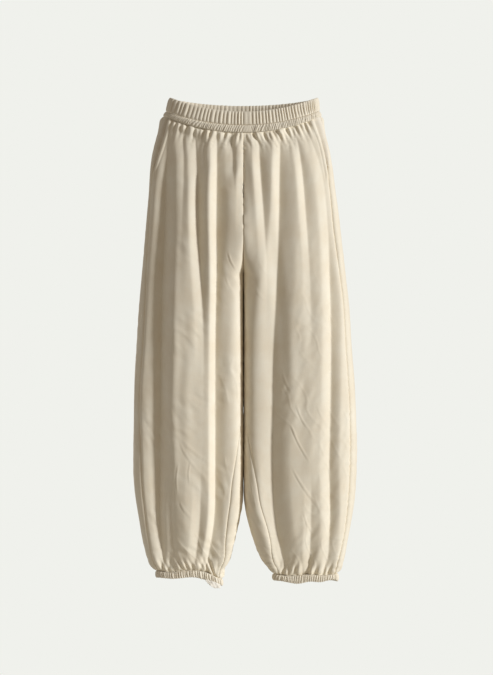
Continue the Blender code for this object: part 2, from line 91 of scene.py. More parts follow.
# The body without folds: outline to each side, inner edges of the legs, depth in front and behind
BODY_COLUMNS = ("z", "left", "right", "inner_left", "inner_right", "front", "back")
BODY_ROWS = (
    (30, -147, 149, 0, 0, 43, 43),
    (0, -155, 152, 0, 0, 46, 46),
    (-12, -161, 156, 0, 0, 48, 49),
    (-44, -171, 163, 0, 0, 52, 55),
    (-76, -180, 171, 0, 0, 56, 61),
    (-176, -190, 186, 0, 0, 63, 73),
    (-296, -200, 200, 0, 0, 68, 75),
    (-376, -207, 209, 0, 0, 69, 72),
    (-456, -212, 215, 0, 0, 69, 70),
    (-536, -217, 221, 0, 0, 69, 69),
    (-616, -219, 225, 0, 0, 67, 67),
    (-676, -220, 226, 0, 0, 65, 65),
    (-736, -219, 224, -1, 1, 62, 62),
    (-776, -215, 221, -2, 2, 59, 59),
    (-816, -208, 215, -9, 9, 54, 54),
    (-856, -201, 208, -18, 21, 46, 46),
    (-896, -189, 199, -29, 39, 34, 34),
    (-920, -174, 188, -43, 60, 23, 23),
    (-950, -173, 187, -43, 61, 21, 21),
)
SEAM_COLUMNS = ("z", "left", "right", "pocket_left", "pocket_right")
SEAM_ROWS = (
    (-8, -157, 152, 10, 18),
    (-62, -173, 165, 10, 9),
    (-98, -180, 170, 6, 5),
    (-130, -182.5, 171, 0, 0),
    (-162, -186, 175, 0, 0),
    (-232, -190, 182, 0, 0),
    (-300, -194, 190, 0, 0),
    (-388, -198, 200, 0, 0),
    (-462, -202, 204, 0, 0),
    (-592, -209, 212, 0, 0),
    (-676, -206, 213, 0, 0),
    (-776, -201, 209, 0, 0),
    (-856, -190, 199, 0, 0),
    (-896, -180, 189, 0, 0),
    (-920, -167, 181, 0, 0),
)
INSEAM_COLUMNS = ("z", "left", "right")
INSEAM_ROWS = (
    (-590, 0, 0),
    (-620, 3, 3),
    (-676, 11, 13),
    (-776, 23, 29),
    (-852, 17, 32),
    (-902, 8, 17),
    (-920, 5, 8),
)
HEM_COLUMNS = ("x", "shift")
HEM_ROWS = {
    "left": ((-174, 4), (-150, 1), (-120, 4), (-90, 5), (-66, -2), (-43, -14)),
    "right": ((60, -3), (90, -6), (130, -3), (160, -5), (188, -2)),
}

# The long folds: where each crease runs and how deep it is at the heights of FOLD_STATIONS, and how
# far away the crests on either side of it stand
FOLD_STATIONS = (-30, -110, -220, -320, -440, -580, -700, -820, -920)
FOLD_COLUMNS = ("face", "side", "reach_left", "reach_right", "x", "depth")
FOLD_ROWS = (
    ("front", "left", (14, 16, 20, 24, 30, 34, 34, 26, 16), 34,
     (-146, -156, -162, -168, -171, -172, -172, -172, -157), (3, 9, 15, 19, 22, 23, 23, 20, 8)),
    ("front", "left", 14, 24,
     (-122, -119, -122, -126, -132, -137, -139, -142, -134), (6, 5, 1, 0, 0, 1, 2, 7, 5)),
    ("front", "left", 16, 20,
     (-99, -93, -91, -86, -79, -79, -83, -87, -99), (6, 11, 12, 10, 5, 1, 1, 6, 7)),
    ("front", "left", 12, 40,
     (-52, -53, -54, -53, -54, -55, -55, -58, -76), (6, 12, 14, 15, 15, 15, 15, 14, 8)),
    ("front", "right", 14, 22,
     (30, 33, 41, 46, 44, 38, 40, 52, 74), (6, 9, 7, 3, 0, 0, 0, 1, 3)),
    ("front", "right", (15, 15, 18, 28, 40, 42, 40, 26, 12), 34,
     (75, 73, 71, 68, 60, 57, 56, 63, 86), (6, 11, 13, 14, 15, 15, 15, 14, 8)),
    ("front", "right", 14, 24,
     (104, 117, 126, 132, 134, 134, 134, 134, 131), (6, 8, 7, 4, 1, 0, 0, 6, 8)),
    ("front", "right", 20, 16,
     (124, 154, 170, 175, 177, 175, 172, 174, 168), (3, 4, 7, 9, 10, 10, 10, 10, 5)),
    ("back", "left", 20, 34,
     (-132, -146, -156, -164, -168, -170, -170, -168, -150), (6, 10, 13, 14, 14, 13, 12, 12, 7)),
    ("back", "left", 26, 22,
     (-92, -98, -104, -110, -114, -112, -110, -112, -116), (6, 9, 10, 9, 7, 8, 9, 11, 8)),
    ("back", "left", 20, 30,
     (-48, -50, -53, -56, -54, -50, -52, -58, -76), (6, 11, 13, 14, 14, 13, 13, 12, 7)),
    ("back", "right", 26, 20,
     (44, 47, 52, 56, 60, 58, 56, 62, 86), (6, 10, 12, 13, 14, 14, 13, 12, 7)),
    ("back", "right", 22, 28,
     (88, 94, 100, 108, 116, 118, 116, 116, 124), (6, 8, 8, 8, 6, 7, 9, 11, 8)),
    ("back", "right", 30, 20,
     (128, 142, 154, 164, 170, 174, 174, 170, 160), (6, 10, 13, 14, 14, 14, 13, 12, 7)),
)
CENTRE_FOLD_COLUMNS = ("z", "depth", "reach_left", "reach_right")
CENTRE_FOLD_ROWS = (
    (-20, 3, 10, 12),
    (-90, 6, 12, 16),
    (-160, 7, 14, 20),
    (-210, 4, 14, 20),
    (-250, 0, 14, 20),
)
FLANK_POWER = 1.15
CREASE_ROUND = 1.6
CREST_ROUND = 0.16
WAIST_FLAT = 22.0
HEM_FLAT = 26.0
SEAM_SHARE = 0.3

# Gathers below the waist seam, the longer ones first
GATHER_COLUMNS = ("face", "side", "x", "lean", "length", "depth", "reach")
GATHER_ROWS = (
    ("front", "left", -79, 3, 130, 5.0, 11),
    ("front", "left", -24, 12, 200, 6.0, 13),
    ("front", "left", -140, 0, 50, 1.8, 6),
    ("front", "left", -113, 2, 52, 2.2, 6),
    ("front", "left", -91, 3, 70, 2.6, 6),
    ("front", "left", -66, 2, 58, 2.4, 6),
    ("front", "left", -37, 8, 44, 3.0, 7),
    ("front", "left", -10, 5, 48, 2.2, 6),
    ("front", "right", 12, 4, 80, 4.0, 9),
    ("front", "right", 52, 3, 70, 4.5, 10),
    ("front", "right", 91, 2, 90, 4.5, 10),
    ("front", "right", 4, -3, 60, 3.0, 6),
    ("front", "right", 21, 3, 46, 2.4, 6),
    ("front", "right", 41, 5, 62, 2.6, 6),
    ("front", "right", 63, 1, 46, 2.6, 6),
    ("front", "right", 83, 2, 40, 2.0, 5),
    ("front", "right", 98, 6, 60, 2.4, 6),
    ("front", "right", 122, 8, 54, 2.6, 6),
    ("back", "left", -112, -6, 100, 4.5, 10),
    ("back", "left", -70, 2, 120, 5.0, 11),
    ("back", "left", -24, 3, 90, 4.5, 11),
    ("back", "left", -144, -4, 50, 2.0, 6),
    ("back", "left", -126, -3, 60, 2.6, 6),
    ("back", "left", -82, 0, 44, 2.4, 6),
    ("back", "left", -58, 1, 64, 2.6, 6),
    ("back", "left", -36, 2, 42, 2.2, 6),
    ("back", "left", -9, 2, 56, 2.6, 6),
    ("back", "right", 22, 2, 110, 4.5, 11),
    ("back", "right", 66, 3, 90, 5.0, 11),
    ("back", "right", 108, 6, 120, 4.5, 10),
    ("back", "right", 10, 1, 48, 2.4, 6),
    ("back", "right", 33, 2, 56, 2.4, 6),
    ("back", "right", 55, 2, 44, 2.2, 6),
    ("back", "right", 79, 3, 62, 2.8, 6),
    ("back", "right", 98, 5, 46, 2.2, 6),
    ("back", "right", 122, 7, 58, 2.6, 6),
    ("back", "right", 142, 9, 46, 2.0, 6),
)

# Gathers above the cuffs. x is where each meets the cuff and lean how far it strays by its top.
CUFF_GATHER_ROWS = (
    ("front", "left", -164, -4, 46, 3.0, 6),
    ("front", "left", -149, 2, 60, 4.0, 8),
    ("front", "left", -138, 5, 34, 2.4, 6),
    ("front", "left", -126, -2, 52, 3.2, 7),
    ("front", "left", -113, -8, 58, 3.4, 8),
    ("front", "left", -103, -2, 26, 2.4, 5),
    ("front", "left", -86, 12, 50, 3.6, 8),
    ("front", "left", -70, 14, 60, 3.6, 8),
    ("front", "left", -56, 10, 44, 2.8, 7),
    ("front", "right", 70, -9, 40, 2.6, 6),
    ("front", "right", 79, -14, 52, 3.4, 7),
    ("front", "right", 94, -12, 40, 3.0, 7),
    ("front", "right", 107, -8, 30, 2.6, 6),
    ("front", "right", 119, -8, 62, 3.6, 8),
    ("front", "right", 127, 5, 44, 3.4, 7),
    ("front", "right", 143, 3, 36, 3.0, 7),
    ("front", "right", 158, 16, 56, 3.8, 8),
    ("front", "right", 171, 14, 42, 3.0, 6),
    ("back", "left", -158, -8, 50, 3.2, 7),
    ("back", "left", -138, -5, 64, 3.6, 8),
    ("back", "left", -124, -2, 36, 2.8, 6),
    ("back", "left", -106, 2, 54, 3.4, 7),
    ("back", "left", -92, 5, 38, 2.8, 7),
    ("back", "left", -66, 12, 56, 3.4, 7),
    ("back", "left", -54, 10, 34, 2.6, 6),
    ("back", "right", 72, -12, 48, 3.2, 7),
    ("back", "right", 98, -7, 58, 3.4, 8),
    ("back", "right", 111, -3, 34, 2.6, 6),
    ("back", "right", 136, 3, 52, 3.4, 7),
    ("back", "right", 149, 7, 36, 2.8, 6),
    ("back", "right", 174, 11, 46, 3.0, 7),
)

# Fine pressed creases: from one end to the other, and how high each stands
CREASE_COLUMNS = ("face", "side", "x0", "z0", "x1", "z1", "height")
CREASE_ROWS = (
    ("front", "left", -120, -656, -64, -700, 0.9),
    ("front", "left", -126, -660, -86, -718, 0.8),
    ("front", "left", -126, -776, -100, -810, 0.9),
    ("front", "left", -104, -768, -66, -769, 0.7),
    ("front", "left", -29, -282, -12, -318, 0.9),
    ("front", "left", -34, -330, -14, -366, 0.5),
    ("front", "left", -128, -700, -130, -760, 0.6),
    ("front", "left", -104, -696, -106, -742, 0.5),
    ("front", "right", 19, -346, 43, -378, 0.8),
    ("front", "right", 30, -300, 52, -332, 0.5),
    ("front", "right", 105, -584, 126, -628, 0.8),
    ("front", "right", 94, -624, 132, -698, 0.9),
    ("front", "right", 98, -712, 150, -788, 1.0),
    ("front", "right", 120, -800, 140, -842, 0.7),
    ("front", "right", 78, -520, 96, -560, 0.5),
    ("front", "right", 8, -706, 29, -800, 1.6),
    ("back", "left", -30, -420, -8, -452, 0.7),
    ("back", "left", -140, -640, -96, -684, 0.9),
    ("back", "left", -132, -742, -98, -782, 0.8),
    ("back", "left", -90, -560, -66, -604, 0.6),
    ("back", "right", 22, -350, 46, -388, 0.7),
    ("back", "right", 84, -620, 128, -668, 0.9),
    ("back", "right", 92, -706, 132, -770, 0.8),
    ("back", "right", 142, -560, 160, -604, 0.6),
)
CREASE_WIDTH = 1.7
CREASE_SCALE = 0.75

# Small gathers between the listed ones, spaced, sized and turned unevenly
SMALL_GATHER_PITCH = 7.5
SMALL_GATHER_LENGTH = (9, 30)
SMALL_GATHER_DEPTH = (0.5, 1.5)
SMALL_CUFF_PITCH = 6.0
SMALL_CUFF_LENGTH = (8, 26)
SMALL_CUFF_DEPTH = (0.6, 1.7)
PUFF_AT_WAIST = 3.0
PUFF_AT_CUFF = 4.0
PUFF_REACH = 7.0
PINCH = 0.8
SCALLOPS = (9, 24)
SCALLOP_SHARE = 0.4
CUFF_GATHER_SCALE = 1.3

# Wrinkles run down towards an onlooker's right on both legs
WRINKLE_HEIGHT = 0.4
WRINKLE_SPACING = (34, 90)
WRINKLE_HEADING = 0.6
WRINKLE_EDGE = 0.3

# How the seams pucker, and the ditch that each runs in
OUTER_PUCKER = {"left": 0.2, "right": 0.6}
INNER_PUCKER = 0.35
OUTER_SEAM_SEED = {"left": 41, "right": 42}
INNER_SEAM_SEED = 43
SEAM_DITCH = 1.6
SEAM_DITCH_WIDTH = 1.6
OUTER_DITCH = 3.0
OUTER_DITCH_WIDTH = 2.4

# Sheet grids: rows from the waist seam to the cuff, and columns across a panel
PANEL_TOP = -25.0
PANEL_BOTTOM = -920.0
TOP_SHIFT_END = -150.0
BOTTOM_SHIFT_START = -850.0
ROW_PARTS = ((-25.0, -85.0, 38), (-85.0, CROTCH, 62), (CROTCH, -840.0, 140), (-840.0, -920.0, 44))
PANEL_COLUMNS = 152
SPACING_REACH = 60.0

# Pocket facings
FACING_TUCK = 14.0
FACING_BOTTOM = -138.0
FACING_UNDER = -112.0
FACING_DEPTH = 6.0
POCKET_RISE = 0.9
POCKET_HEM = 8.0

# Elastic
RIBS = 100
RIB_SAMPLES = 10
STRIP_RIBS = 168
STRIP_SAMPLES = 6
CUFF_HEIGHT = 13.0
CUFF_RIBS = 78
CUFF_SAMPLES = 8
CUFF_WAVE = 1.3
CUFF_RIB_SCALE = 1.5
WAIST_SAMPLES = 4000
BAND_LEVELS = (  # share of the height, how far out, height of the ribs, drop between them
    (0.00, -0.9, 0.3, 0.0), (0.03, -0.5, 1.1, 0.0), (0.10, -0.2, 2.0, 0.0),
    (0.22, 0.0, 2.5, 0.0), (0.36, 0.0, 2.7, 0.0), (0.50, 0.0, 2.8, 0.0),
    (0.64, 0.0, 2.7, 0.0), (0.78, 0.0, 2.4, 0.0), (0.88, -0.1, 1.9, 0.1),
    (0.95, -0.3, 1.2, 0.3), (0.99, -0.8, 0.6, 0.6), (1.00, -1.3, 0.0, 0.7),
    (0.99, -1.9, -0.5, 0.6), (0.94, -2.3, -0.9, 0.2), (0.80, -2.3, -1.1, 0.0),
    (0.60, -2.3, -1.2, 0.0), (0.40, -2.3, -1.2, 0.0), (0.20, -2.2, -1.1, 0.0),
    (0.06, -2.0, -0.6, 0.0), (0.00, -1.7, -0.1, 0.0),
)
STRIP_LEVELS = (  # the same
    (0.00, -1.1, 0.6, 0.0), (0.06, -0.8, 1.3, 0.0), (0.18, -0.5, 2.0, 0.0),
    (0.34, -0.3, 2.4, 0.0), (0.50, -0.2, 2.5, 0.0), (0.66, -0.3, 2.4, 0.0),
    (0.82, -0.5, 2.0, 0.0), (0.94, -0.8, 1.2, 0.0), (1.00, -1.1, 0.3, 0.0),
    (0.98, -1.7, -0.2, 0.0), (0.80, -2.0, -0.5, 0.0), (0.50, -2.1, -0.6, 0.0),
    (0.20, -2.0, -0.5, 0.0), (0.02, -1.7, -0.1, 0.0),
)
CUFF_LEVELS = (  # the same
    (1.00, -1.4, 0.2, 0.0), (0.97, -0.4, 0.5, 0.0), (0.85, 0.3, 1.1, 0.0),
    (0.68, 0.5, 1.4, 0.0), (0.50, 0.5, 1.5, 0.0), (0.32, 0.5, 1.5, 0.0),
    (0.16, 0.3, 1.3, -0.3), (0.05, -0.2, 0.8, -0.7), (0.00, -0.9, 0.2, -0.9),
    (0.03, -1.7, -0.4, -0.6), (0.20, -2.1, -0.9, 0.0), (0.50, -2.1, -1.0, 0.0),
    (0.80, -2.0, -0.8, 0.0), (0.98, -1.8, -0.2, 0.0),
)
TAB_LEFT = 1.0
TAB_RIGHT = 13.0

# Seam allowance below the left cuff
ALLOWANCE_LEFT = -75.0
ALLOWANCE_RIGHT = -47.0
ALLOWANCE_HEIGHT = 12.0


def table(names, rows):
    return {name: np.array([row[k] for row in rows], float) for k, name in enumerate(names)}


BODY = table(BODY_COLUMNS, BODY_ROWS)
SEAMS = table(SEAM_COLUMNS, SEAM_ROWS)
INSEAMS = table(INSEAM_COLUMNS, INSEAM_ROWS)
CENTRE_FOLD = table(CENTRE_FOLD_COLUMNS, CENTRE_FOLD_ROWS)
FOLDS = [dict(zip(FOLD_COLUMNS, row)) for row in FOLD_ROWS]
GATHERS = [dict(zip(GATHER_COLUMNS, row)) for row in GATHER_ROWS]
CUFF_GATHERS = [dict(zip(GATHER_COLUMNS, row)) for row in CUFF_GATHER_ROWS]
CREASES = [dict(zip(CREASE_COLUMNS, row)) for row in CREASE_ROWS]


def smooth(at, knots, values):
    """A curve through the values, with no kinks. Beyond the last knots it stays level."""
    knots = np.asarray(knots, float)
    values = np.asarray(values, float)
    if knots[0] > knots[-1]:
        knots, values = knots[::-1], values[::-1]
    slopes = np.gradient(values, knots)
    at = np.clip(np.asarray(at, float), knots[0], knots[-1])
    k = np.clip(np.searchsorted(knots, at) - 1, 0, len(knots) - 2)
    step = knots[k + 1] - knots[k]
    t = (at - knots[k]) / step
    return (
        (1 + 2 * t) * (1 - t) ** 2 * values[k]
        + t * (1 - t) ** 2 * step * slopes[k]
        + t**2 * (3 - 2 * t) * values[k + 1]
        + t**2 * (t - 1) * step * slopes[k + 1]
    )


def ramp(value, start, end):
    """0 at start, 1 at end, with a soft beginning and a soft end."""
    t = np.clip((value - start) / (end - start), 0, 1)
    return t * t * (3 - 2 * t)


def unit(vectors):
    return vectors / np.maximum(np.linalg.norm(vectors, axis=-1, keepdims=True), 1e-9)


def leg_middle(side, z):
    outer = smooth(z, BODY["z"], BODY[side]) * SIDES[side]
    inner = smooth(z, BODY["z"], BODY["inner_" + side]) * SIDES[side]
    gap = SEAM_GAP / 2 + (LEG_HALF_GAP - SEAM_GAP / 2) * ramp(z, CROTCH, CROTCH - LEG_GAP_RAMP)
    inner = np.maximum(inner, gap)
    return (outer + inner) / 2, (outer - inner) / 2


def torso_share(out, half, z):
    """1 where the section is one torso, 0 where it is two legs."""
    away = np.clip(out / (2 * half), 0, 1)
    reach = CROTCH_SPREAD * ramp(away, 0, 0.5)
    rise = np.clip((z - CROTCH + reach) / (CROTCH_CURVE + reach), 0, 1)
    return (1 - (1 - rise) ** 2) ** (0.5 + ramp(away, 0, 0.2))


def body_frame(side, angle, z):
    """A point on the body without folds, and its level way outwards. The angle is 0 at the outer
    edge, negative in front."""
    middle, half = leg_middle(side, z)
    turn = np.cos(angle)
    out = middle + half * turn
    across = np.abs(out / (middle + half))
    in_torso = np.clip(1 - across**SQUARENESS, 0, 1) ** (1 / SQUARENESS)
    square = np.where(turn < 0, INNER_SQUARENESS, SQUARENESS)
    in_leg = np.clip(1 - np.abs(turn) ** square, 0, 1) ** (1 / square)
    share = torso_share(out, half, z)
    behind = np.where(np.sin(angle) > 0, 1, -1)
    front, back = smooth(z, BODY["z"], BODY["front"]), smooth(z, BODY["z"], BODY["back"])
    depth = np.where(behind > 0, back, front)
    reach = depth * (share * in_torso + (1 - share) * in_leg)
    point = np.stack([out * SIDES[side], behind * reach, z + 0 * out], -1)
    power = SQUARENESS - 1
    torso_way = unit(np.stack([across**power / (middle + half), in_torso**power / depth], -1))
    leg_across = np.sign(turn) * np.abs(turn) ** (square - 1) / half
    leg_way = unit(np.stack([leg_across, in_leg ** (square - 1) / depth], -1))
    way = unit(share[..., None] * torso_way + (1 - share[..., None]) * leg_way)
    return point, np.stack([way[..., 0] * SIDES[side], way[..., 1] * behind, 0 * out], -1)


def body_point(side, angle, z):
    return body_frame(side, angle, z)[0]


def outward(side, angle, z):
    return body_frame(side, angle, z)[1]


def angle_at(side, face, x, z):
    middle, half = leg_middle(side, z)
    turn = np.arccos(np.clip((x * SIDES[side] - middle) / half, -1, 1))
    return -turn if face == "front" else turn


def groove(x, crease, reach_left, reach_right):
    """1 at the crease, falling to 0 at the crests on either side."""
    away = x - crease
    reach = np.where(away < 0, reach_left, reach_right)
    share = 1 - (np.sqrt(away**2 + CREASE_ROUND**2) - CREASE_ROUND) / reach
    return ((share + np.sqrt(share**2 + CREST_ROUND**2)) / 2) ** FLANK_POWER * (share > -1.5)


def reach_at(reach, z):
    """A reach given once, or for each of FOLD_STATIONS."""
    return reach if np.isscalar(reach) else smooth(z, FOLD_STATIONS, reach)


def fold_depth(side, face, x, z):
    """How far the long folds sink the cloth at x and z."""
    depth = 0 * x
    for fold in FOLDS:
        if fold["side"] == side and fold["face"] == face:
            crease = smooth(z, FOLD_STATIONS, fold["x"])
            deep = np.maximum(smooth(z, FOLD_STATIONS, fold["depth"]), 0)
            left = reach_at(fold["reach_left"], z)
            right = reach_at(fold["reach_right"], z)
            depth = depth + deep * groove(x, crease, left, right)
    deep = smooth(z, CENTRE_FOLD["z"], CENTRE_FOLD["depth"])
    left = smooth(z, CENTRE_FOLD["z"], CENTRE_FOLD["reach_left"])
    right = smooth(z, CENTRE_FOLD["z"], CENTRE_FOLD["reach_right"])
    return depth + np.maximum(deep, 0) * groove(x, 0, left, right)


def gather_depth(rows, face, x, away):
    """How far listed gathers sink the cloth, at x and at a distance from the seam that makes them."""
    depth = 0 * x
    for gather in rows:
        if gather["face"] == face:
            share = away / gather["length"]
            fade = ramp(share, 1, 0)
            wide = gather["reach"] * (1 + 0.5 * share)
            gather_x = gather["x"] + gather["lean"] * share
            depth = depth + gather["depth"] * fade * groove(x, gather_x, wide, wide)
    return depth


def small_gathers(rng, across, width, away, pitch, lengths, depths):
    """Small gathers at uneven places along a seam. across runs from 0 to width along each row."""
    depth = 0 * across
    count = int(width.max() / pitch)
    for k in range(count):
        place = (k + 0.5 + rng.uniform(-0.42, 0.42)) / count
        length = rng.uniform(*lengths) * (1 + (rng.random() < 0.15))
        deep = rng.uniform(*depths)
        reach = rng.uniform(1.6, 3.2)
        lean = rng.uniform(-4, 4)
        share = away / length
        off = np.abs(across - place * width - lean * share) / (reach * (1 + 0.8 * share))
        depth = depth + deep * ramp(share, 1, 0) * np.exp(-off**1.5)
    return depth


def pressed_creases(face, x, z):
    """How high the fine pressed creases stand."""
    height = 0 * x
    for crease in CREASES:
        if crease["face"] == face:
            run = np.array([crease["x1"] - crease["x0"], crease["z1"] - crease["z0"]])
            size = np.linalg.norm(run)
            along = ((x - crease["x0"]) * run[0] + (z - crease["z0"]) * run[1]) / size**2
            off = ((x - crease["x0"]) * run[1] - (z - crease["z0"]) * run[0]) / size
            bow = 3.0 * np.sin(np.pi * np.clip(along, 0, 1))
            fade = ramp(along, -0.05, 0.2) * ramp(along, 1.05, 0.7)
            off = (off - bow) / CREASE_WIDTH
            ridge_and_dip = np.exp(-off**2) - 0.6 * np.exp(-(off - 1.7) ** 2)
            height = height + CREASE_SCALE * crease["height"] * fade * ridge_and_dip
    return height


def make_waves(rng, count, lengths, slant, spread):
    """Soft random waves: how fast each changes across and down, and where it starts."""
    length = rng.uniform(*lengths, count)
    heading = slant + rng.normal(0, spread, count)
    phase = rng.uniform(0, 2 * np.pi, count)
    return [(math.cos(h) / s, math.sin(h) / s, p) for s, h, p in zip(length, heading, phase)]


def wave_height(waves, across, down):
    total = sum(np.sin(2 * np.pi * (across * a + down * b) + p) for a, b, p in waves)
    return total / math.sqrt(len(waves) / 2)


def waist_share(angle):
    return 1 - ((1 + np.cos(angle)) / 2) ** 2


def waist_edge(angle):
    dip = np.where(np.sin(angle) > 0, WAIST_DIP["back"], WAIST_DIP["front"])
    return WAIST_SIDE - dip * waist_share(angle)


def band_bottom(angle):
    return waist_edge(angle) - BAND_HEIGHT


def strip_top(angle):
    return band_bottom(angle) - SEAM_GAP


def strip_bottom(angle):
    height = STRIP_SIDE_HEIGHT + (STRIP_CENTRE_HEIGHT - STRIP_SIDE_HEIGHT) * waist_share(angle)
    return strip_top(angle) - height


def hem_shift(side, angle):
    hem = table(HEM_COLUMNS, HEM_ROWS[side])
    x = body_point(side, angle, PANEL_BOTTOM + 0 * angle)[..., 0]
    return smooth(x, hem["x"], hem["shift"])


def settle(side, angle, nominal):
    """The real height of a nominal one: rows near the waist and the hem follow their seams."""
    top = strip_bottom(angle) - SEAM_GAP - PANEL_TOP
    top_share = np.clip((nominal - TOP_SHIFT_END) / (PANEL_TOP - TOP_SHIFT_END), 0, 1)
    bottom_share = np.clip((BOTTOM_SHIFT_START - nominal) / (BOTTOM_SHIFT_START - PANEL_BOTTOM), 0, 1)
    return nominal + top * top_share + hem_shift(side, angle) * bottom_share


def settled(side, angle_of, nominal):
    z = nominal
    for _ in range(4):
        angle = angle_of(z)
        z = settle(side, angle, nominal)
    return angle, z


def side_seam_angle(side, z):
    return angle_at(side, "front", smooth(z, SEAMS["z"], SEAMS[side]), z)


def pocket_edge_x(side, z):
    inset = np.maximum(smooth(z, SEAMS["z"], SEAMS["pocket_" + side]), 0)
    return smooth(z, SEAMS["z"], SEAMS[side]) - SIDES[side] * inset


def pocket_edge_angle(side, z):
    return angle_at(side, "front", pocket_edge_x(side, z), z)


def inseam_angle(side, z):
    middle, half = leg_middle(side, z)
    inset = np.maximum(smooth(z, INSEAMS["z"], INSEAMS[side]), 0)
    return -np.arccos(np.clip((inset - half) / half, -1, 1))


def cloth_point(side, angle, z, extra=0.0):
    """A point on the outside of the folded cloth. extra lifts it further."""
    body, way = body_frame(side, angle, z)
    behind = np.sin(angle) > 0
    sink = np.where(
        behind, fold_depth(side, "back", body[..., 0], z), fold_depth(side, "front", body[..., 0], z)
    )
    from_waist = strip_bottom(angle) - z
    from_hem = z - PANEL_BOTTOM - hem_shift(side, angle)
    edge = np.minimum(from_waist / WAIST_FLAT, from_hem / HEM_FLAT)
    sink = sink * (SEAM_SHARE + (1 - SEAM_SHARE) * ramp(edge, 0, 1))
    return body + way * (extra - sink)[..., None]


def row_lengths(points):
    """How far along its row each point of a grid lies."""
    step = np.linalg.norm(np.diff(points, axis=1), axis=-1)
    return np.concatenate([np.zeros((len(points), 1)), np.cumsum(step, axis=1)], axis=1)


def even_rows():
    rows = [np.linspace(start, end, count, endpoint=False) for start, end, count in ROW_PARTS]
    return np.concatenate([*rows, [PANEL_BOTTOM]])


def even_angles(side, start, end, z, columns):
    """Angles from start to end that lie at even distances along the body, a row for each height. Their
    spacing changes slowly from row to row."""
    fine = 400
    share = np.linspace(0, 1, fine)
    angles = start[:, None] + (end - start)[:, None] * share
    run = row_lengths(body_point(side, angles, z[:, None] + 0 * angles))
    wanted = np.linspace(0, 1, columns)
    shares = np.array([np.interp(wanted * r[-1], r, share) for r in run])
    away = (z[:, None] - z[None, :]) / SPACING_REACH
    weight = np.exp(-away**2) * np.gradient(-z)[None, :]
    shares = weight @ shares / weight.sum(axis=1, keepdims=True)
    return start[:, None] + (end - start)[:, None] * shares


def relief(side, angle, x, z, across, rng):
    """Everything finer than the long folds, in millimetres outwards. Both panels at a seam get the
    same height there."""
    width = across[:, -1:]
    to_edge = np.minimum(across, width - across)
    free = ramp(to_edge, EDGE_HELD, EDGE_FREE)
    from_waist = np.maximum(strip_bottom(angle) - z, 0)
    from_hem = np.maximum(z - PANEL_BOTTOM - hem_shift(side, angle), 0)
    behind = np.sin(angle) > 0
    faces = []
    for face in ("front", "back"):
        sunk = gather_depth(GATHERS, face, x, from_waist)
        sunk = sunk + CUFF_GATHER_SCALE * gather_depth(CUFF_GATHERS, face, x, from_hem)
        faces.append(pressed_creases(face, x, z) - sunk)
    lift = np.where(behind, faces[1], faces[0])
    small = small_gathers(
        rng, across, width, from_waist, SMALL_GATHER_PITCH, SMALL_GATHER_LENGTH, SMALL_GATHER_DEPTH
    )
    small += small_gathers(
        rng, across, width, from_hem, SMALL_CUFF_PITCH, SMALL_CUFF_LENGTH, SMALL_CUFF_DEPTH
    )
    for away, height in ((from_waist, PUFF_AT_WAIST), (from_hem, PUFF_AT_CUFF)):
        share = away / PUFF_REACH
        uneven = make_waves(rng, 6, SCALLOPS, 0.0, 0.0)
        scallop = 1 + SCALLOP_SHARE * free * wave_height(uneven, across, 0 * z)
        lift += height * scallop * share * np.exp(1 - share) - PINCH * np.exp(-away / 2.5)
    drape = make_waves(rng, 9, (26, 60), 0.0, 0.12)
    crumple = make_waves(rng, 22, (12, 34), 0.9, 0.55)
    patch = make_waves(rng, 6, (110, 240), 0.8, 1.2)
    rough = np.clip(0.5 + PATCH_CONTRAST * wave_height(patch, across, z), 0, 1) * (0.5 + 0.5 * ramp(z, -250, -600))
    loose = 0.35 * wave_height(drape, across, z) + 0.28 * rough * wave_height(crumple, across, z)
    heading = WRINKLE_HEADING if side == "left" else math.pi - WRINKLE_HEADING
    ridges = make_waves(rng, 7, WRINKLE_SPACING, heading, 0.4)
    wrinkles = np.exp(-((wave_height(ridges, across, z) / WRINKLE_EDGE) ** 2)) * ramp(rough, 0.4, 0.8)
    lift += free * (loose + WRINKLE_HEIGHT * wrinkles - small)
    outer = make_waves(np.random.default_rng(OUTER_SEAM_SEED[side]), 6, (7, 17), math.pi / 2, 0.0)
    inner = make_waves(np.random.default_rng(INNER_SEAM_SEED), 6, (8, 18), math.pi / 2, 0.0)
    lower = 0.35 + 0.65 * ramp(z, -480, -620)
    lift += OUTER_PUCKER[side] * lower * np.exp(-across / 7.0) * wave_height(outer, 0 * z, z)
    on_leg = ramp(z, CROTCH + 70, CROTCH)
    lift += INNER_PUCKER * on_leg * np.exp(-(width - across) / 5.0) * wave_height(inner, 0 * z, z)
    outer_ditch = OUTER_DITCH * np.exp(-across / OUTER_DITCH_WIDTH)
    return lift - outer_ditch - SEAM_DITCH * np.exp(-(width - across) / SEAM_DITCH_WIDTH)


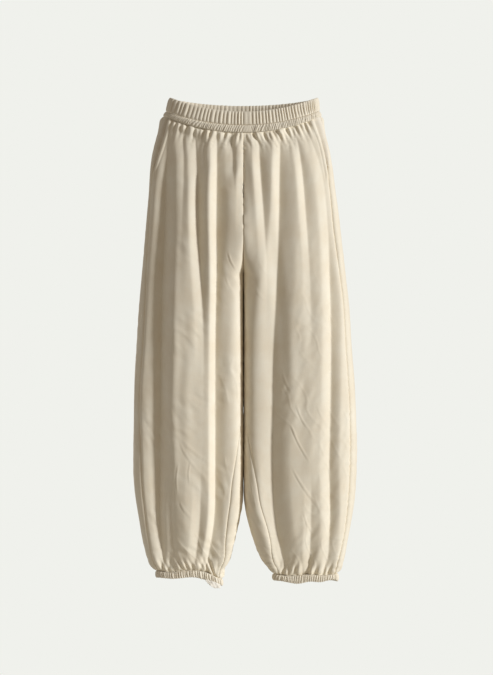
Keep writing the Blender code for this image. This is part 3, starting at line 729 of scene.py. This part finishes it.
def grid_object(name, points, uv, material, closed=False, looped=False, flip=False):
    """A sheet through a grid of points. closed joins its last column to its first, looped its last
    row to its first. uv is in metres on the cloth."""
    rows, columns = points.shape[:2]
    i = np.arange(rows if looped else rows - 1)[:, None]
    j = np.arange(columns if closed else columns - 1)[None, :]
    below, beside = (i + 1) % rows, (j + 1) % columns
    corners = [i * columns + j, i * columns + beside, below * columns + beside, below * columns + j]
    if flip:
        corners = corners[::-1]
    faces = np.stack([np.broadcast_to(c, (i.size, j.size)) for c in corners], -1).reshape(-1, 4)
    mesh = bpy.data.meshes.new(name)
    mesh.vertices.add(rows * columns)
    mesh.vertices.foreach_set("co", (points.reshape(-1, 3) * MM).astype(np.float32).ravel())
    mesh.loops.add(faces.size)
    mesh.loops.foreach_set("vertex_index", faces.astype(np.int32).ravel())
    mesh.polygons.add(len(faces))
    mesh.polygons.foreach_set("loop_start", np.arange(0, faces.size, 4, dtype=np.int32))
    mesh.update(calc_edges=True)
    layer = mesh.uv_layers.new(name="UVMap")
    place = np.stack(
        [
            np.broadcast_to(uv[0], (rows, columns)).ravel()[faces],
            np.broadcast_to(uv[1], (rows, columns)).ravel()[faces],
        ],
        -1,
    )
    layer.data.foreach_set("uv", (place * MM).astype(np.float32).ravel())
    mesh.shade_smooth()
    mesh.materials.append(material)
    mesh.validate()
    piece = bpy.data.objects.new(name, mesh)
    bpy.context.collection.objects.link(piece)
    return piece


def thicken(piece, thickness):
    """Gives a sheet its thickness, inwards."""
    solid = piece.modifiers.new("cloth", "SOLIDIFY")
    solid.thickness = thickness * MM
    solid.offset = -1


def dress(piece, node):
    """piece rides on the trousers and stands for a node, which is hidden."""
    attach(piece, "root")
    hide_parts(node)


def seam_inward(side, angles, z):
    """The way into the trousers from a seam, a row for each height."""
    way = -outward(side, angles, z)
    centre = (z > CROTCH) & (np.abs(np.abs(angles) - math.pi) < 0.01)
    drop = body_point(side, angles, z - 2) - body_point(side, angles, z + 2)
    facing = np.where(angles < 0, 1, -1)
    under = unit(np.stack([0 * z, -drop[:, 2] * facing, drop[:, 1] * facing], -1))
    return np.where(centre[:, None], under, way)


def turned_in(points, side, angles, z):
    """The grid with its two side edges turned into the trousers, as at a sewn seam."""
    edges = []
    for edge, neighbour in ((0, 1), (-1, -2)):
        inward = seam_inward(side, angles[:, edge], z[:, edge])
        along = points[:, neighbour] - points[:, edge]
        along -= inward * np.sum(along * inward, axis=-1, keepdims=True)
        along[:, 2] = 0
        points[:, edge] += unit(along) * SEAM_GAP / 2
        edges.append(points[:, edge] + inward * TURN_IN - unit(along) * SEAM_CLOSE)
    return np.concatenate([edges[0][:, None], points, edges[1][:, None]], axis=1)


def tucked_end(grid, side, end, rise):
    """The grid with three rows more at one end, where the cloth runs in under the elastic and behind
    it, so that no light shows through the seam."""
    points, angles, z = grid
    body, way = body_frame(side, angles[end], z[end])
    inside = body - way * TUCK
    extra = [inside + np.array([0, 0, rise]), inside, body - way * TUCK_START]
    repeats = [np.repeat(a[end][None], 3, axis=0) for a in (angles, z)]
    pairs = ((points, np.array(extra)), (angles, repeats[0]), (z, repeats[1]))
    if end == 0:
        return tuple(np.concatenate([more, a]) for a, more in pairs)
    return tuple(np.concatenate([a, more[::-1]]) for a, more in pairs)


def ends_run(down):
    """How far down the cloth each row lies, with the three tucked rows at each end."""
    steps = np.array([2 * TUCK + TUCK_RISE, 2 * TUCK, TUCK])[:, None]
    return np.concatenate([down[:1] + steps, down, down[-1:] - steps[::-1]])


def panel_sheet(side, face, seed, material):
    """The front or back of one side, from the waist seam to the cuff."""
    nominal = even_rows()
    if face == "front":
        tracks = (lambda z: pocket_edge_angle(side, z), lambda z: inseam_angle(side, z))
    else:
        tracks = (lambda z: side_seam_angle(side, z), lambda z: inseam_angle(side, z) + 2 * math.pi)
    start, end = (settled(side, track, nominal)[0] for track in tracks)
    angles = even_angles(side, start, end, nominal, PANEL_COLUMNS)
    angles, z = settled(side, lambda z: angles, nominal[:, None] + 0 * angles)
    body = body_point(side, angles, z)
    across = row_lengths(body)
    rng = np.random.default_rng(seed)
    lift = relief(side, angles, body[..., 0], z, across, rng)
    if face == "front":
        hem_line = np.exp(-((across - POCKET_HEM) / 1.8) ** 2)
        hem = ramp(across, POCKET_HEM + 1.5, POCKET_HEM - 1.5) - 0.7 * hem_line
        lift += POCKET_RISE * hem * ramp(z, FACING_BOTTOM - 6, FACING_BOTTOM + 12)
    points = cloth_point(side, angles, z, lift)
    down = -row_lengths(points.transpose(1, 0, 2)).T
    grid = tucked_end((points, angles, z), side, 0, TUCK_RISE)
    points, angles, z = tucked_end(grid, side, -1, -TUCK_RISE)
    down = ends_run(down)
    points = turned_in(points, side, angles, z)
    across = row_lengths(points)
    down = np.concatenate([down[:, :1], down, down[:, -1:]], axis=1)
    flip = (side == "right") == (face == "front")
    piece = grid_object(f"{face}_{side}_cloth", points, (across, down), material, flip=flip)
    thicken(piece, CLOTH)
    dress(piece, f"{face}_{side}")
    return piece


def linear(colour):
    """An sRGB hex colour as linear RGBA."""
    parts = [int(colour[k : k + 2], 16) / 255 for k in (0, 2, 4)]
    return (*[p / 12.92 if p <= 0.04045 else ((p + 0.055) / 1.055) ** 2.4 for p in parts], 1)


def add_node(tree, kind, settings=(), inputs=(), links=()):
    """A node with its settings and input values, and links into it from other nodes' outputs."""
    node = tree.nodes.new(kind)
    for name, value in dict(settings).items():
        setattr(node, name, value)
    for name, value in dict(inputs).items():
        node.inputs[name].default_value = value
    for name, source in dict(links).items():
        tree.links.new(source, node.inputs[name])
    return node


def cloth_material(name, light, dark, weave, roughness, sheen):
    """Washed cotton twill: dry and matt, with uneven yarns. weave is the drawn yarn spacing in
    millimetres, coarser than the real 0.4 so that it shows."""
    material = bpy.data.materials.new(name)
    material.use_nodes = True
    tree = material.node_tree
    shader = tree.nodes["Principled BSDF"]
    place = add_node(tree, "ShaderNodeTexCoord").outputs["UV"]
    yarn_map = add_node(
        tree, "ShaderNodeMapping", inputs={"Scale": (1 / (weave * MM), 0.06 / (weave * MM), 1)},
        links={"Vector": place},
    )
    yarns = add_node(
        tree, "ShaderNodeTexNoise", inputs={"Scale": 1.0, "Detail": 2.0, "Roughness": 0.6},
        links={"Vector": yarn_map.outputs["Vector"]},
    )
    weft_map = add_node(
        tree, "ShaderNodeMapping", inputs={"Scale": (0.06 / (weave * MM), 1 / (weave * MM), 1)},
        links={"Vector": place},
    )
    wefts = add_node(
        tree, "ShaderNodeTexNoise", inputs={"Scale": 1.0, "Detail": 2.0, "Roughness": 0.6},
        links={"Vector": weft_map.outputs["Vector"]},
    )
    cloud = add_node(
        tree, "ShaderNodeTexNoise", inputs={"Scale": 1 / (45 * MM), "Detail": 3.0, "Roughness": 0.55},
        links={"Vector": place},
    )
    woven = add_node(
        tree, "ShaderNodeMath", {"operation": "ADD"},
        links={0: yarns.outputs["Fac"], 1: wefts.outputs["Fac"]},
    )
    tone = add_node(
        tree, "ShaderNodeMath", {"operation": "MULTIPLY_ADD"}, inputs={1: 0.35},
        links={0: woven.outputs["Value"], 2: cloud.outputs["Fac"]},
    )
    span = add_node(
        tree, "ShaderNodeMapRange", inputs={"From Min": 0.6, "From Max": 1.1},
        links={"Value": tone.outputs["Value"]},
    )
    colour = add_node(
        tree, "ShaderNodeMix", {"data_type": "RGBA"},
        inputs={6: linear(dark), 7: linear(light)}, links={0: span.outputs["Result"]},
    )
    bump = add_node(
        tree, "ShaderNodeBump", inputs={"Strength": 0.35, "Distance": 0.25 * MM},
        links={"Height": woven.outputs["Value"]},
    )
    tree.links.new(colour.outputs[2], shader.inputs["Base Color"])
    tree.links.new(bump.outputs["Normal"], shader.inputs["Normal"])
    shader.inputs["Roughness"].default_value = roughness
    shader.inputs["Sheen Weight"].default_value = sheen
    shader.inputs["Sheen Roughness"].default_value = 0.4
    shader.inputs["Specular IOR Level"].default_value = 0.25
    return material


def facing_sheet(side, material):
    """The cloth behind the slant opening, tucked under the front and level with it at the side seam."""
    sign = SIDES[side]
    rows = np.linspace(PANEL_TOP, FACING_BOTTOM, 60)
    seam, _ = settled(side, lambda z: side_seam_angle(side, z), rows)
    tucked, _ = settled(
        side, lambda z: angle_at(side, "front", pocket_edge_x(side, z) - sign * FACING_TUCK, z), rows
    )
    share = np.linspace(0, 1, 26)
    angles = seam[:, None] + (tucked - seam)[:, None] * share
    nominal = rows[:, None] + 0 * angles
    angles, z = settled(side, lambda z: angles, nominal)
    body = body_point(side, angles, z)
    seam_x = smooth(z, SEAMS["z"], SEAMS[side])
    edge = pocket_edge_x(side, z)
    shown = (body[..., 0] - edge) / np.where(np.abs(seam_x - edge) < 1, sign, seam_x - edge)
    below = FACING_DEPTH * (1 - ramp(np.clip(shown, 0, 1), 0.3, 1.0))
    below = np.where(nominal < FACING_UNDER, FACING_DEPTH, below)
    across = row_lengths(body)
    rng = np.random.default_rng(31 if side == "left" else 32)
    waves = make_waves(rng, 6, (12, 34), 0.3, 0.4)
    lift = -below + 0.3 * wave_height(waves, across, z) * np.clip(across / 6, 0, 1)
    points = cloth_point(side, angles, z, lift)
    points, angles, z = tucked_end((points, angles, z), side, 0, TUCK_RISE)
    along = unit(points[:, 1] - points[:, 0])
    points[:, 0] += along * SEAM_GAP / 2
    turned = points[:, 0] - outward(side, angles[:, 0], z[:, 0]) * TURN_IN
    points = np.concatenate([turned[:, None], points], axis=1)
    across = row_lengths(points)
    down = np.concatenate([z[:, :1], z], axis=1)
    piece = grid_object(
        f"pocket_facing_{side}_cloth", points, (across, down), material, flip=side == "right"
    )
    thicken(piece, CLOTH)
    dress(piece, f"pocket_facing_{side}")
    return piece


def ring_places(side_angles, z):
    """Points and outward ways on the body for a list of (sides, angles) at heights z."""
    sides, angles = side_angles
    right_point, right_way = body_frame("right", angles, z)
    left_point, left_way = body_frame("left", angles, z)
    at_right = (sides > 0)[:, None]
    return np.where(at_right, right_point, left_point), np.where(at_right, right_way, left_way)


def waist_ring(columns):
    """Sides and angles of even points round the waist, from the centre front to the right, and
    the distance round."""
    fine = np.linspace(-math.pi, math.pi, 1441)
    sides = np.concatenate([np.ones_like(fine), -np.ones_like(fine)])
    angles = np.concatenate([fine, -fine])
    points, _ = ring_places((sides, angles), 0 * angles)
    run = np.concatenate([[0], np.cumsum(np.linalg.norm(np.diff(points[:, :2], axis=0), axis=1))])
    wanted = np.arange(columns) / columns * run[-1]
    k = np.clip(np.searchsorted(run, wanted), 0, len(run) - 1)
    at_right = wanted < run[len(fine) - 1]
    right = np.interp(wanted, run[: len(fine)], fine)
    left = np.interp(wanted, run[len(fine) :], -fine)
    return (np.where(at_right, 1.0, -1.0), np.where(at_right, right, left)), wanted, run[-1]


def rib_profile(rng, count, samples, unevenness, crowding=0.0):
    """Ribs round a ring: the height of each sample from 0 in a groove to 1 on a crest, and the
    place of each sample as a share of the way round. crowding narrows those a quarter of the way
    round and widens those opposite."""
    widths = rng.uniform(1 - unevenness, 1 + unevenness, count)
    widths = widths * (1 - crowding * np.sin(2 * np.pi * np.arange(count) / count))
    starts = np.concatenate([[0], np.cumsum(widths)]) / widths.sum()
    inside = np.arange(samples) / samples
    place = (starts[:-1, None] + inside * np.diff(starts)[:, None]).ravel()
    crest = 1 - np.abs(2 * inside - 1) ** 1.8
    height = (rng.uniform(0.6, 1.15, count)[:, None] * crest).ravel()
    return place, height


def elastic_ring(name, side_angles, run, top, height, levels, ribs, slant, material, tab):
    """A gathered casing as a closed ring. levels lists, round its section from the bottom outside
    over the top to the bottom inside, the share of the height, the plain lift and the rib's share."""
    rows, across = [], []
    for share, plain, rib, wave in levels:
        shifted = np.roll(ribs, int(round(slant * share))) * (1 - 0.8 * tab) + 0.55 * tab
        z = top - height * (1 - share) + wave * (shifted - 0.5)
        point, way = ring_places(side_angles, z)
        point[:, 2] = z
        rows.append(point + way * (plain + rib * shifted)[:, None])
        across.append(run)
    points = np.array(rows)
    down = row_lengths(points.transpose(1, 0, 2)).T
    piece = grid_object(name, points, (np.array(across), down), material, closed=True, looped=True)
    return piece


def tab_share(sides, angles):
    """1 on the smooth stretch at the centre front, 0 elsewhere."""
    point, _ = ring_places((sides, angles), 0 * angles)
    from_left = ramp(point[:, 0], TAB_LEFT - 1, TAB_LEFT)
    from_right = ramp(point[:, 0], TAB_RIGHT + 1, TAB_RIGHT)
    return (point[:, 1] < 0) * from_left * from_right


def nearest_on_ring(ring, place):
    """Sides and angles of the ring's points nearest to places given as shares of the way round."""
    index = np.round(place * WAIST_SAMPLES).astype(int) % WAIST_SAMPLES
    return ring[0][index], ring[1][index]


def waist_pieces(material):
    """The ribbed waistband and the narrow gathered strip below it, each with a flat tab in front."""
    rng = np.random.default_rng(7)
    place, ribs = rib_profile(rng, RIBS, RIB_SAMPLES, 0.26, 0.25)
    ring, _, total = waist_ring(WAIST_SAMPLES)
    sides, angles = nearest_on_ring(ring, place)
    band = elastic_ring(
        "waistband_cloth", (sides, angles), place * total, waist_edge(angles), BAND_HEIGHT,
        BAND_LEVELS, ribs, 0, material, tab_share(sides, angles)
    )
    dress(band, "waistband")

    place, ribs = rib_profile(rng, STRIP_RIBS, STRIP_SAMPLES, 0.5, 0.2)
    sides, angles = nearest_on_ring(ring, place)
    top = strip_top(angles)
    strip = elastic_ring(
        "waist_strip_cloth", (sides, angles), place * total, top, top - strip_bottom(angles),
        STRIP_LEVELS, ribs, 9, material, tab_share(sides, angles)
    )
    dress(strip, "waist_strip")


def cuff_ring(side, seed, material):
    """The gathered elastic at the end of a leg, with a wavy lower edge."""
    rng = np.random.default_rng(seed)
    place, ribs = rib_profile(rng, CUFF_RIBS, CUFF_SAMPLES, 0.55)
    fine = np.linspace(-math.pi, math.pi, 2001)
    level = np.full_like(fine, PANEL_BOTTOM)
    body = body_point(side, fine, level)
    run = np.concatenate([[0], np.cumsum(np.linalg.norm(np.diff(body, axis=0), axis=1))])
    angles = np.interp(place * run[-1], run, fine)
    base = body_point(side, angles, np.full_like(angles, PANEL_BOTTOM))
    way = outward(side, angles, np.full_like(angles, PANEL_BOTTOM))
    top = PANEL_BOTTOM + hem_shift(side, angles) - SEAM_GAP
    wave = wave_height(make_waves(rng, 5, (40, 110), 0.0, 0.0), place * run[-1], 0 * place)
    rows = []
    for share, plain, rib, drop in CUFF_LEVELS:
        shifted = np.roll(ribs, int(round(3 * share)))
        row = base.copy()
        row[:, 2] = top - CUFF_HEIGHT * (1 - share) + drop * shifted + CUFF_WAVE * wave * (1 - share)
        rows.append(row + way * (plain + CUFF_RIB_SCALE * rib * shifted)[:, None])
    points = np.array(rows)[::-1]
    down = row_lengths(points.transpose(1, 0, 2)).T
    across = np.broadcast_to(place * run[-1], down.shape)
    flip = side == "left"
    piece = grid_object(
        f"cuff_{side}_cloth", points, (across, down), material, closed=True, looped=True, flip=flip
    )
    dress(piece, f"cuff_{side}")
    return piece


def allowance_sheet(material):
    """The overlocked end of the inseam that hangs below the left cuff, in front."""
    side = "left"
    columns, rows = 60, 24
    x = np.linspace(ALLOWANCE_LEFT, ALLOWANCE_RIGHT, columns)
    level = np.full_like(x, PANEL_BOTTOM)
    angles = angle_at(side, "front", x, level)
    base = body_point(side, angles, level)
    way = outward(side, angles, level)
    top = PANEL_BOTTOM + hem_shift(side, angles) - CUFF_HEIGHT + 2.0
    droop = (ALLOWANCE_HEIGHT + 1.0) * np.sin(np.linspace(0.5, 2.6, columns))
    rng = np.random.default_rng(77)
    waves = make_waves(rng, 6, (5, 14), 0.4, 0.5)
    share = np.linspace(0, 1, rows)[:, None]
    points = np.repeat(base[None], rows, axis=0)
    points[..., 2] = top - droop * share + 0.6 * np.sin(x * 1.7) * share
    swell = wave_height(waves, x[None] + 0 * share, 12 * share + 0 * x[None])
    bulge = 0.9 * share * swell - 0.4 + 1.0 * share
    points = points + way[None] * bulge[..., None]
    uv = (x[None] + 0 * share, -12 * share + 0 * x[None])
    piece = grid_object("cuff_allowance_left_cloth", points, uv, material)
    thicken(piece, 1.2)
    dress(piece, "cuff_allowance_left")
    return piece


def studio():
    """Camera, soft light from the right, pale floor and surroundings."""
    scene = bpy.context.scene
    camera = bpy.data.objects.new("camera", bpy.data.cameras.new("camera"))
    camera.location = CAMERA_PLACE
    camera.rotation_euler = (math.pi / 2, 0, 0)
    camera.data.sensor_width = SENSOR_WIDTH
    camera.data.lens = SENSOR_WIDTH * CAMERA_DISTANCE / VIEW_HEIGHT
    bpy.context.collection.objects.link(camera)
    scene.camera = camera

    for name, strength, spread, way, colour in (
        ("key", 2.95, 9, (0.935, -0.45, 0.20), "f5f9ff"),
        ("cool_fill", 0.3, 40, (-0.95, -0.05, 0.15), "dfe8f5"),
        ("back_fill", 1.1, 30, (-0.25, 0.93, 0.27), "fdf6ea"),
    ):
        sun = bpy.data.objects.new(name, bpy.data.lights.new(name, "SUN"))
        sun.data.energy = strength
        sun.data.angle = math.radians(spread)
        sun.data.color = linear(colour)[:3]
        sun.rotation_euler = Vector(way).to_track_quat("Z", "Y").to_euler()
        bpy.context.collection.objects.link(sun)

    world = bpy.data.worlds.new("studio")
    scene.world = world
    world.use_nodes = True
    tree = world.node_tree
    seen = add_node(tree, "ShaderNodeBackground", inputs={"Color": linear("f0f1ec"), "Strength": 1.0})
    lit = tree.nodes["Background"]
    lit.inputs["Color"].default_value = linear("fff0de")
    lit.inputs["Strength"].default_value = 0.22
    path = add_node(tree, "ShaderNodeLightPath")
    mix = add_node(tree, "ShaderNodeMixShader")
    tree.links.new(path.outputs["Is Camera Ray"], mix.inputs[0])
    tree.links.new(lit.outputs[0], mix.inputs[1])
    tree.links.new(seen.outputs[0], mix.inputs[2])
    tree.links.new(mix.outputs[0], tree.nodes["World Output"].inputs["Surface"])
    scene.view_settings.view_transform = "Standard"

    floor_mesh = bpy.data.meshes.new("floor")
    corners = [
        (-FLOOR_HALF, -FLOOR_HALF, FLOOR_LEVEL), (FLOOR_HALF, -FLOOR_HALF, FLOOR_LEVEL),
        (FLOOR_HALF, FLOOR_BACK, FLOOR_LEVEL), (-FLOOR_HALF, FLOOR_BACK, FLOOR_LEVEL),
    ]
    floor_mesh.from_pydata(corners, [], [(0, 1, 2, 3)])
    floor = bpy.data.objects.new("floor", floor_mesh)
    matt = bpy.data.materials.new("matt_floor")
    matt.use_nodes = True
    shader = matt.node_tree.nodes["Principled BSDF"]
    shader.inputs["Base Color"].default_value = linear("e9e8e2")
    shader.inputs["Roughness"].default_value = 0.9
    floor_mesh.materials.append(matt)
    bpy.context.collection.objects.link(floor)


def main():
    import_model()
    bpy.ops.object.select_all(action="DESELECT")
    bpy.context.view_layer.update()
    cream = cloth_material("cream_cotton_twill", "f4ebd6", "eee1c8", 1.1, 0.82, 0.12)
    # The pocket facings use the same cloth drawn slightly darker and greyer. This is painted shade for the recess
    # behind the slant opening.
    facing = cloth_material("cream_cotton_facing_painted_shade", "f1e8d6", "e8dcc6", 1.1, 0.85, 0.08)
    elastic = cloth_material("gathered_cotton_over_elastic", "f4ebd7", "eadec7", 0.9, 0.85, 0.08)
    edging = cloth_material("overlocked_cotton_edge", "faf4e8", "f0e8d8", 0.7, 0.9, 0.1)
    panel_sheet("left", "front", 11, cream)
    panel_sheet("right", "front", 12, cream)
    panel_sheet("left", "back", 13, cream)
    panel_sheet("right", "back", 14, cream)
    for side in SIDES:
        facing_sheet(side, facing)
        cuff_ring(side, 21 if side == "left" else 22, elastic)
    waist_pieces(elastic)
    allowance_sheet(edging)
    studio()


main()
